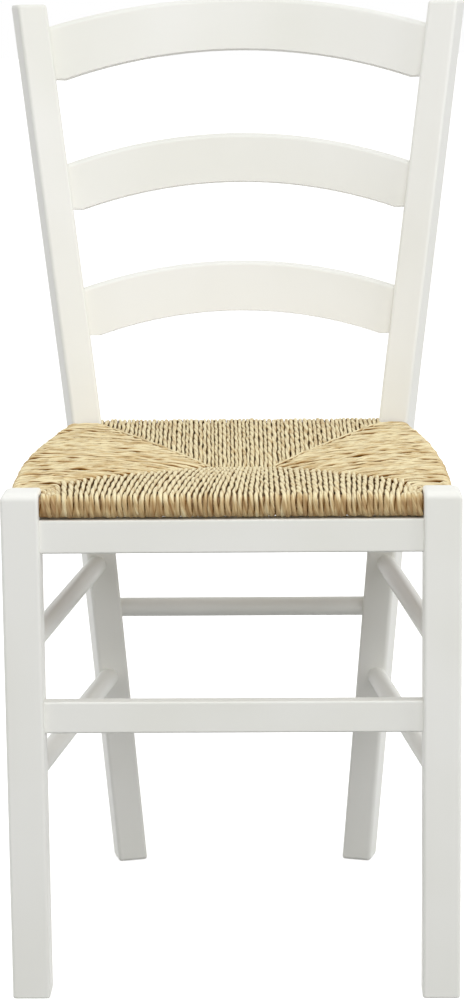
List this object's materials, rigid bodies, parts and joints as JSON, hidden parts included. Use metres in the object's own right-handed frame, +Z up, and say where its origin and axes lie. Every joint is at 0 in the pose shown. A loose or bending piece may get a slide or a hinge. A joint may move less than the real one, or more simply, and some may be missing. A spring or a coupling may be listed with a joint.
{
  "type": "ladderback chair",
  "caption": "Ladderback dining chair with arched, bent back slats between raked posts, a woven rush seat and round side stretchers.",
  "frame": {"origin": "on the floor, below the middle of the chair's overall width and depth", "axes": "+Z up, the chair faces -Y, +X to the right of someone who looks at its front"},
  "size_m": [0.4524, 0.4895, 0.8738],
  "materials": {
    "painted_wood": "satin lacquer",
    "bare_wood": "planed, unfinished",
    "rush": "natural twisted rush",
    "straw_stuffing": "loose straw",
    "steel": "bright wire"
  },
  "bodies": {
    "root": {"front_apron": "painted_wood", "front_leg_left": "painted_wood", "front_leg_right": "painted_wood", "front_seat_rail": "bare_wood", "front_stretcher": "painted_wood", "lower_side_stretcher_left": "painted_wood", "lower_side_stretcher_right": "painted_wood", "lower_slat": "painted_wood", "middle_slat": "painted_wood", "rear_post_left": "painted_wood", "rear_post_right": "painted_wood", "rear_seat_rail": "bare_wood", "rear_stretcher": "painted_wood", "rush_tacks": "steel", "rush_weave": "rush", "side_seat_rail_left": "bare_wood", "side_seat_rail_right": "bare_wood", "slat_pins": "steel", "stuffing_front": "straw_stuffing", "stuffing_left": "straw_stuffing", "stuffing_rear": "straw_stuffing", "stuffing_right": "straw_stuffing", "top_slat": "painted_wood", "upper_side_stretcher_left": "painted_wood", "upper_side_stretcher_right": "painted_wood"}
  },
  "joints": []
}
